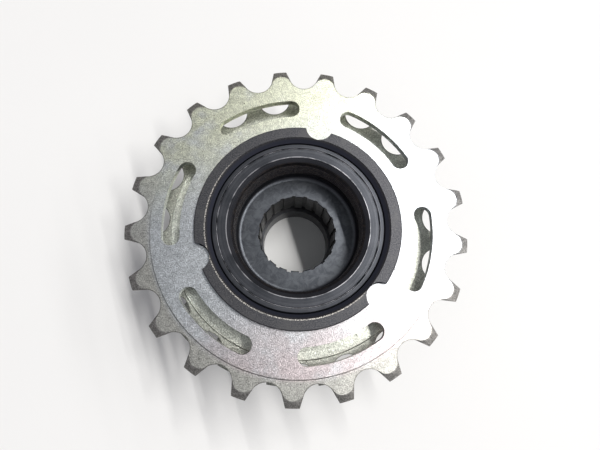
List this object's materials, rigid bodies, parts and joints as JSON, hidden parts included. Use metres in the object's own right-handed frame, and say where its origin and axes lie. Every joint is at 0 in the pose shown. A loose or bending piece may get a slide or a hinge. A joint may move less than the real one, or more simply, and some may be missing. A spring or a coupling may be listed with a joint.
{
  "type": "bicycle freewheel sprocket block",
  "caption": "Multi-speed bicycle freewheel: stepped sprockets on a ratcheting driver that turns on balls round a splined core threaded for a rear hub.",
  "frame": {"origin": "on the axis of rotation, at the outboard face of the lock cone, on which the freewheel stands", "axes": "+Z along the axis of rotation, inboard, towards the hub; +X and +Y radial"},
  "size_m": [0.0879, 0.0879, 0.0339],
  "materials": {
    "zinc_plated_steel": "satin zinc plate with a fine grain, worn at the tooth tips",
    "yellow_zinc_steel": "pale yellow zinc plate with dark specks",
    "spacer_steel": "plain turned steel, dull",
    "phosphated_steel": "dark phosphate coating, oily",
    "blackened_steel": "blackened machined steel with turning lines",
    "hardened_steel": "hardened and ground",
    "ball_steel": "polished bearing steel",
    "spring_wire": "drawn spring wire",
    "shim_steel": "thin rolled steel",
    "seal_ring": "black nylon"
  },
  "bodies": {
    "core": {"inner_body": "blackened_steel", "lock_cone": "blackened_steel", "shim_outboard": "shim_steel", "shim_inboard": "shim_steel", "pawl_spring": "spring_wire"},
    "driver": {"outer_body": "phosphated_steel", "dust_seal": "seal_ring", "sprocket_21t": "zinc_plated_steel", "sprocket_19t": "yellow_zinc_steel", "sprocket_17t": "yellow_zinc_steel", "sprocket_15t": "yellow_zinc_steel", "sprocket_14t": "yellow_zinc_steel", "sprocket_13t": "yellow_zinc_steel", "spacer_21t_19t": "spacer_steel", "spacer_19t_17t": "spacer_steel", "spacer_17t_15t": "spacer_steel", "spacer_15t_14t": "spacer_steel", "spacer_14t_13t": "spacer_steel"},
    "pawl_a": {"pawl_a": "hardened_steel"},
    "pawl_b": {"pawl_b": "hardened_steel"},
    "inboard_ball_row": {"inboard_balls": "ball_steel"},
    "outboard_ball_row": {"outboard_balls": "ball_steel"}
  },
  "joints": [
    {"name": "freewheel_spin", "type": "hinge", "parent": "core", "child": "driver", "pos_m": [0, 0, 0.017], "axis": [0, 0, 1], "continuous": true},
    {"name": "pawl_a_swing", "type": "hinge", "parent": "core", "child": "pawl_a", "pos_m": [-0.01367, 0.00993, 0.016], "axis": [0, 0, 1], "range_deg": [0, 12], "stiffness_Nm_per_rad": 0.002, "springref_deg": 17.19, "deforming": ["pawl_spring"]},
    {"name": "pawl_b_swing", "type": "hinge", "parent": "core", "child": "pawl_b", "pos_m": [0.01367, -0.00993, 0.016], "axis": [0, 0, 1], "range_deg": [0, 12]},
    {"name": "inboard_balls_roll", "type": "hinge", "parent": "core", "child": "inboard_ball_row", "pos_m": [0, 0, 0.0286], "axis": [0, 0, 1], "continuous": true},
    {"name": "outboard_balls_roll", "type": "hinge", "parent": "core", "child": "outboard_ball_row", "pos_m": [0, 0, 0.0056], "axis": [0, 0, 1], "continuous": true}
  ],
  "couplings": [
    {"joint": "pawl_b_swing", "follows": "pawl_a_swing", "ratio": 1},
    {"joint": "inboard_balls_roll", "follows": "freewheel_spin", "ratio": 0.527},
    {"joint": "outboard_balls_roll", "follows": "freewheel_spin", "ratio": 0.533}
  ]
}
